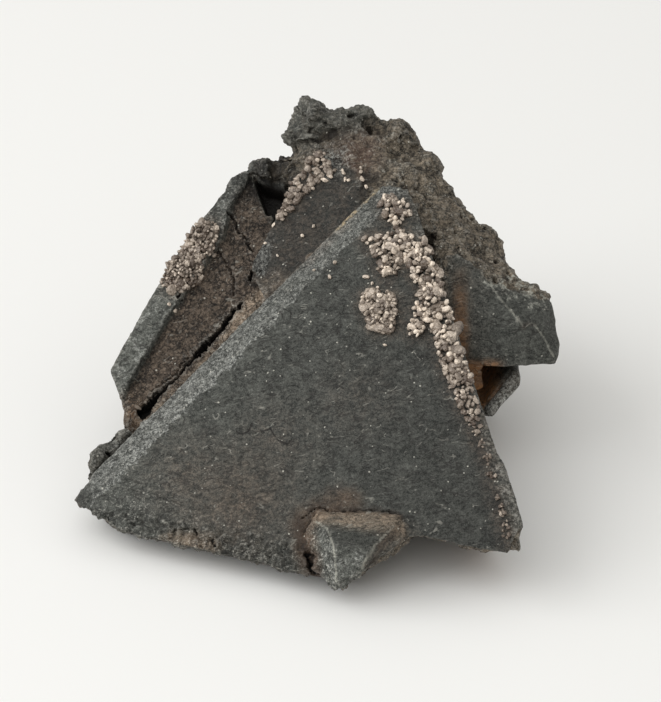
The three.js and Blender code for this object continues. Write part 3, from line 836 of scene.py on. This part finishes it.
gold = outwards.close_to(GOLD_SEAM, 0.1, 0.42) * in_bevel * height_up.band(21.8, 23.4)
gold = gold * tree.noise(place, 0.5, 2).band(0.36, 0.56)
colour = mixed(tree, colour, SEAM_GOLD, gold * (0.25 + salt * 0.6))
colour = mixed(tree, colour, RUST, painted(tree, "rust") * (0.35 + mottle * 0.45 + salt * 0.2))

crevice, hollow = painted(tree, "crevice"), painted(tree, "hollow")
# Paler where the rock stands out on ridges and edges: wear and painted highlight.
ridge_wear_and_highlight = (0 - crevice).band(0.01, 0.06) * salt.band(0.1, 0.8)
colour = mixed(tree, colour, WEAR_AND_HIGHLIGHT_GREY, ridge_wear_and_highlight * 0.4)
seen_parts = [tree.dot(place, (1, 0, 0)), tree.dot(place, SEEN_UP)]
seen_place = tree.bent(tree.node("ShaderNodeCombineXYZ", {}, seen_parts), 0.6, 0.3)
seen_place = tree.vector("MULTIPLY", seen_place, (1, 1, 0))
off_edge = tree.line_distance(seen_place, RIGHT_UPPER_EDGE[1:], RIGHT_LOWER_EDGE)
off_edge = off_edge.least(tree.line_distance(on_plane, LOWER_LEFT_EDGE, LOWER_RIGHT_EDGE))
worn_line = (1 - off_edge.band(0.04, 0.17)) * painted(tree, "worn_edge").band(0, 0.3)
colour = mixed(tree, colour, WORN_EDGE, worn_line * (0.08 + salt * 0.4 + mottle * 0.4))
# Painted shade: darker where a point lies well below its surroundings.
colour = mixed(tree, colour, HOLLOW_SHADE_BROWN, hollow.band(0.1, 0.45) * 0.6 * (1 - sandy_mask))
white = tree.noise(tree.bent(place, 0.7, 0.6), 0.9, 3, 0.6).band(0.5, 0.6)
white = white * painted(tree, "flakes").band(0.1, 0.7)
colour = mixed(tree, colour, FLAKE_WHITE, white * (0.2 + salt * 0.7))
# Dark stains, with painted shadow beside the small lower crystal.
colour = mixed(tree, colour, STAIN_AND_SHADOW_BROWN, painted(tree, "stain_and_shadow") * (0.55 + salt * 0.45))
# The tone, with its painted shade and light, scales the colour.
colour = tree.scaled(colour, 1 + painted(tree, "shade"))

speck = tree.spots(tree.bent(place, 0.3, 0.2), 0.85, 0.06, 0.13)
speck = speck * tree.noise(place, 1.9, 2).band(0.44, 0.56)
nick = tree.threads(tree.vector("ADD", brushed, (7.0, 4.0, 2.0)), 1.4, 0.03)
nick = nick * tree.noise(place, 1.1).band(0.57, 0.64)
glint = tree.spots(tree.bent(place, 0.3, 0.3), 0.45, 0.1, 0.22) * ore_mask * mottle.band(0.4, 0.8)
colour = mixed(tree, colour, SPECK_WHITE, speck.most(nick * 0.3).most(glint * 0.6) * 0.8)
# Dents are drawn dark: painted shade in them, with a matching bump.
dent = 1 - tree.line_distance(on_plane, *DENTS).band(0.03, 0.12)
dent = dent * out_of_face.close_to(0, 0.3, 0.6)
net = tree.hairlines(tree.vector("MULTIPLY", tree.bent(flat, 0.9, 1.0), (1, 0.6, 1)), 1.25, 0.06)
split = net * tree.noise(place, 1.6, 2).band(0.36, 0.5) * layer_mask
pore = tree.spots(tree.bent(place, 0.5, 0.4), 0.9, 0.1, 0.22) * (ore_mask + layer_mask * 0.6) * cloud
# Dark marks: cracks, splits, grooves and pores, and painted shade in dents, hollows and crevices.
dark = painted(tree, "crack").band(0.1, 0.4) * tree.noise(place, 0.5, 1).band(0.25, 0.4)
for mark in (
    dent * 0.8, wrinkles * (0.35 + cloud * 0.3) * (1 - frosted), split * 0.8, groove * mottle * 0.5,
    painted(tree, "painted_hollow_shade") * 0.85, pore * 0.8, gritty * (0.35 - grain).band(0.0, 0.2) * 0.6,
):
    dark = dark.most(mark)
colour = mixed(tree, colour, CRACK_AND_SHADE_BLACK, dark.most(crevice.band(0.03, 0.12) * 0.55))

bumps = dust * 0.2 + salt * 0.35 + streaks * 0.2 + mottle * 0.25 - wrinkles * 0.6 - dent
bump = tree.node("ShaderNodeBump", {}, {"Strength": 0.75, "Distance": 0.1 * MM, "Height": bumps})
finish_material(tree, {
    "Base Color": colour,
    "Metallic": 0.2 * (1 - brown_mask) * (1 - ore_mask) * (1 - dark),
    "Roughness": 0.66 - salt * 0.14 - speck * 0.3 + layer_mask * 0.2,
    "Specular IOR Level": 0.3,
    "Normal": bump,
})
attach(ore, "root")
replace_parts(ore, "tennantite_cluster")


# ---- the crusts of pale crystals ----
# Small glassy pinkish crystals that grew last, heaped along the main face's right edge and in patches.
# Nine are modelled, each a ball with flat faces cut round it, and copies are strewn over each crust's
# place on the finished rock. The material darkens a crystal's foot with painted shade.

GRAIN_SHAPES = 9
GRAIN_CUTS = 9
GRAIN_SHARP = 24  # degrees between two facets whose edge stays sharp
CAST_FROM = 6  # mm in front of the main face
generator = np.random.default_rng(7)
rock = surface_of(ore.data)


def model_grain():
    """One crystal, about 1 in radius: a ball with flat faces cut all round it."""
    bpy.ops.mesh.primitive_ico_sphere_add(subdivisions=2, radius=1)
    ball = bpy.context.object
    bpy.ops.object.mode_set(mode="EDIT")
    for _ in range(GRAIN_CUTS):
        direction = Vector(generator.normal(size=3)).normalized()
        bpy.ops.mesh.select_all(action="SELECT")
        reach = generator.uniform(0.6, 0.9)
        bpy.ops.mesh.bisect(plane_co=direction * reach, plane_no=direction, use_fill=True, clear_outer=True)
    bpy.ops.mesh.select_all(action="SELECT")
    bpy.ops.mesh.quads_convert_to_tris()
    bpy.ops.object.mode_set(mode="OBJECT")
    corners = np.array([v.co for v in ball.data.vertices])
    triangles = np.array([p.vertices for p in ball.data.polygons])
    bpy.data.objects.remove(ball)
    return corners, triangles


grain_models = [model_grain() for _ in range(GRAIN_SHAPES)]


def heap(name, seeds):
    """Joins copies of the model crystals into one piece. A seed is a place, a size and a tone."""
    corners, triangles, tones, tips, count = [], [], [], [], 0
    for place, size, tone in seeds:
        model, faces = grain_models[generator.integers(GRAIN_SHAPES)]
        turn = np.linalg.qr(generator.normal(size=(3, 3)))[0]
        turn[:, 0] *= np.linalg.det(turn)
        stretch = size * 0.5 * np.array((0.8, generator.uniform(0.75, 1.1), generator.uniform(1.0, 1.6)))
        grain = (model * stretch) @ turn.T
        corners.append(grain + place)
        triangles.append(faces + count)
        tones.append(np.full(len(model), tone))
        tips.append(0.5 + (grain @ OUT_OF_FACE) / size)
        count += len(model)
    mesh = bpy.data.meshes.new(name)
    mesh.from_pydata(np.concatenate(corners) * MM, [], np.concatenate(triangles).tolist())
    for attribute, values in (("tone", tones), ("tip", tips)):
        data = mesh.attributes.new(attribute, "FLOAT", "POINT").data
        data.foreach_set("value", np.concatenate(values).astype(np.float32))
    mesh.materials.append(pale_crystal)
    piece = bpy.data.objects.new(name, mesh)
    bpy.context.scene.collection.objects.link(piece)
    only(piece)
    bpy.ops.object.shade_smooth_by_angle(angle=math.radians(GRAIN_SHARP))
    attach(piece, "root")
    return piece


def settle(across, up, lowest=-99):
    """The point of the rock below a place on the main face, in mm, or None where it lies too deep."""
    start = MAIN_CENTRE + MAIN_AXES @ np.array((across, up, CAST_FROM))
    hit = rock.ray_cast(Vector(start * MM), Vector(-OUT_OF_FACE))
    return None if hit[0] is None or CAST_FROM - hit[3] / MM < lowest else np.array(hit[0]) / MM


TESTED = 0.3 * np.array(((1, 0, 0), (-1, 0, 0), (0, 1, 0), (0, -1, 0)))  # places round a crystal's middle


def strew(node, base, brightest, layers):
    """Seeds all over a crust's place, layer by layer from large lumps up, each clear of its own layer."""
    cover = surface_of(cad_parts[node].data)
    sides = zip(*(np.array(corner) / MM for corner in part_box(node)))
    box = (np.array(list(itertools.product(*sides))) - MAIN_CENTRE) @ MAIN_AXES
    seeds = []
    for tries, least, most, closeness, lift, share in layers:
        taken = np.zeros((0, 3))
        for _ in range(tries):
            a, b = generator.uniform(box[:, :2].min(axis=0), box[:, :2].max(axis=0))
            start = MAIN_CENTRE + MAIN_AXES @ np.array((a, b, CAST_FROM))
            size = least + (most - least) * generator.random() ** 2
            on_edge = node == "edge_crust"
            full = between(b, 1, 10) if on_edge else 1  # the edge's crust thins out downwards
            size *= 0.62 + 0.38 * full
            chance = (0.5 + 0.5 * full) * (1 - 0.6 * (b > 22))  # few grow near the main crystal's tip
            if generator.random() > chance or (least > 1 and full < 0.75):
                continue
            spread = MAIN_AXES @ TESTED.T * (size - 0.4)
            tests = [start + spread[:, i] for i in range(len(TESTED))]
            if on_edge and b < 13:  # its lower strip also keeps back from the main face's right edge
                tests.append(start + MAIN_AXES[:, 0] * 0.75 * between(b, -6, 3))
            if any(cover.ray_cast(Vector(test * MM), Vector(-OUT_OF_FACE))[0] is None for test in tests):
                continue
            if np.any(np.hypot(taken[:, 0] - a, taken[:, 1] - b) < closeness * (taken[:, 2] + size)):
                continue
            foot = settle(a, b, base - 2)
            if foot is None:
                continue
            taken = np.append(taken, [(a, b, size)], axis=0)
            mound = max(0, *(h * (1 - ((a - x) ** 2 + (b - y) ** 2) / r ** 2) for x, y, r, h in MOUNDS))
            bright = 0.4 + 0.95 * (between(b, 1, 15) if on_edge else 1)
            # Lower layers are darker: dark matrix between the crystals, and painted shade in the gaps.
            tone = generator.random() ** 1.1 * bright * brightest * (0.3 + 0.7 * share)
            seeds.append((foot + OUT_OF_FACE * (0.15 * size + lift + mound * share), size, tone))
    return seeds


CRYSTAL = (0.085, 0.058, 0.042, 1), (0.94, 0.805, 0.665, 1)  # darkest and lightest
CRYSTAL_FOOT_SHADE = (0.03, 0.019, 0.013, 1)
CRYSTAL_DIRT = (0.075, 0.053, 0.04, 1)

pale_crystal, tree, place = new_material("pale_crystal")
tone, tip = painted(tree, "tone"), painted(tree, "tip")
cloud = tree.noise(place, 0.22, 3, 0.65).band(0.3, 0.7)
patches = tree.noise(place, 1.2, 3, 0.6).band(0.42, 0.62)
facets = tree.cells(place, 0.24, "F1", "MANHATTAN")
glint = (1 - facets.band(0.15, 0.55)) * cloud
shine = tone * 0.62 + tone * cloud * 0.55 + cloud * 0.12 + glint * (0.15 + tone * 0.5) - patches * 0.06
# Painted shade darkens each crystal's foot, below its top.
colour = mixed(tree, CRYSTAL_FOOT_SHADE, mixed(tree, *CRYSTAL, shine), (tip + cloud * 0.3).band(0.34, 0.98))
colour = mixed(tree, colour, CRYSTAL_DIRT, patches * cloud * 0.5)
bumps = {"Strength": 0.7, "Distance": 0.08 * MM, "Height": facets + cloud * 0.5}
finish_material(tree, {
    "Base Color": colour,
    "Roughness": 0.2 + cloud * 0.25,
    "Specular IOR Level": 0.6,
    "Normal": tree.node("ShaderNodeBump", {}, bumps),
})

MOUNDS = (  # where the crust swells: across and up the main face, then radius and height, mm
    (2.1, 13.0, 1.9, 0.9), (0.9, 15.0, 1.5, 0.5), (1.2, 20.4, 1.8, 0.5), (4.6, 19.0, 2.4, 0.6),
    (7.2, 15.4, 2.2, 0.5), (0.2, 25.4, 1.6, 0.4), (-20.3, 21.2, 1.8, 0.7), (-21.5, 16.8, 1.9, 0.7),
    (6.2, 12.4, 1.2, 0.4), (8.8, 11.6, 1.6, 0.4), (-9.5, 31, 1.5, 0.3),
)
# Each crust: the level of its face out of the main face, how pale its brightest crystals are, and its
# layers: tries, the least and greatest size in mm, closeness, lift, share of the mounds.
CRUSTS = {
    "edge_crust": (0, 1, (
        (2500, 1.1, 1.8, 0.28, -0.3, 0.3), (9000, 0.5, 1.05, 0.27, 0.0, 0.65),
        (6000, 0.35, 0.95, 0.34, 0.28, 1),
    )),
    "face_crust": (0, 0.78, (
        (900, 1.5, 2.3, 0.26, -0.35, 0.3), (2500, 0.5, 1.0, 0.3, 0.1, 0.65), (900, 0.3, 0.7, 0.5, 0.3, 1),
    )),
    "small_crust": (0, 0.95, ((400, 0.9, 1.4, 0.26, -0.2, 0.3), (900, 0.4, 0.8, 0.3, 0.15, 1))),
    "left_plate_crust": (RIM_LEVEL, 0.52, (
        (1500, 1.0, 1.6, 0.28, -0.25, 0.3), (3500, 0.4, 0.95, 0.3, 0.0, 0.7), (2500, 0.3, 0.8, 0.4, 0.25, 1),
    )),
    "middle_plate_crust": (MIDDLE_LEVEL, 0.42, (
        (1500, 0.8, 1.3, 0.28, -0.2, 0.5), (3000, 0.35, 0.8, 0.32, 0.05, 1),
    )),
}
for crust, plan in CRUSTS.items():
    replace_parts(heap("pale_" + crust, strew(crust, *plan)), crust)

LOOSE = (  # single crystals: across and up the main face, then size, mm
    (-0.5, 17.3, 0.6), (0.3, 16.7, 0.4), (-4.1, 18.4, 0.55), (-4.2, 16.7, 0.5), (3.3, 10.2, 0.4),
    (1, 16.3, 0.5), (-6.2, 17.4, 0.4), (-9.3, 27.4, 0.5), (-7.9, 29.1, 0.7), (-8.3, 28.5, 0.6),
    (-11.7, 27, 0.4), (-12.9, 23.3, 0.45), (-12.4, 22.6, 0.4), (-11, 19.2, 0.35), (-8.1, 23.1, 0.5),
    (-9, 21.8, 0.45), (-12.7, 20.4, 0.35), (-6.7, 29.9, 0.4), (-6.5, 29.6, 0.45), (-5.8, 28.9, 0.4),
    (-6.2, 28.9, 0.45), (-9.8, 28.9, 0.35), (-13.4, 21.9, 0.35), (-21.7, 12.8, 0.6), (-21.1, 12.5, 0.5),
    (-4.8, 30.1, 0.5), (-4.3, 29.1, 0.6), (-3.8, 28.5, 0.45), (-5, 30.7, 0.4), (-4.6, 29.5, 0.35),
)
LUMPS = (  # places where several crystals have run together, and their spread, mm
    (-10.8, 26.0, 0.5), (-10.3, 27.1, 0.6), (-11.3, 24.7, 0.5), (-9.8, 28.2, 0.5), (-9.1, 29.2, 0.6),
    (-8.2, 29.9, 0.5), (-11.8, 23.6, 0.4), (0.2, 26.0, 0.6), (-0.2, 26.6, 0.5), (0.6, 25.3, 0.5),
)
LOOSE_TONE = 0.75
LUMP_GRAINS = 9
LUMP_TONE = 0.42
lying = [(settle(a, b) + OUT_OF_FACE * 0.2 * size, size, LOOSE_TONE) for a, b, size in LOOSE]
for a, b, spread in LUMPS:
    for _ in range(LUMP_GRAINS):
        off_a, off_b = generator.normal(size=2) * spread * 0.6
        size, lift, share = generator.uniform(0.45, 0.85), generator.uniform(0, 0.3), generator.random()
        lying.append((settle(a + off_a, b + off_b) + OUT_OF_FACE * lift, size, share * LUMP_TONE))
heap("loose_crystals", lying)
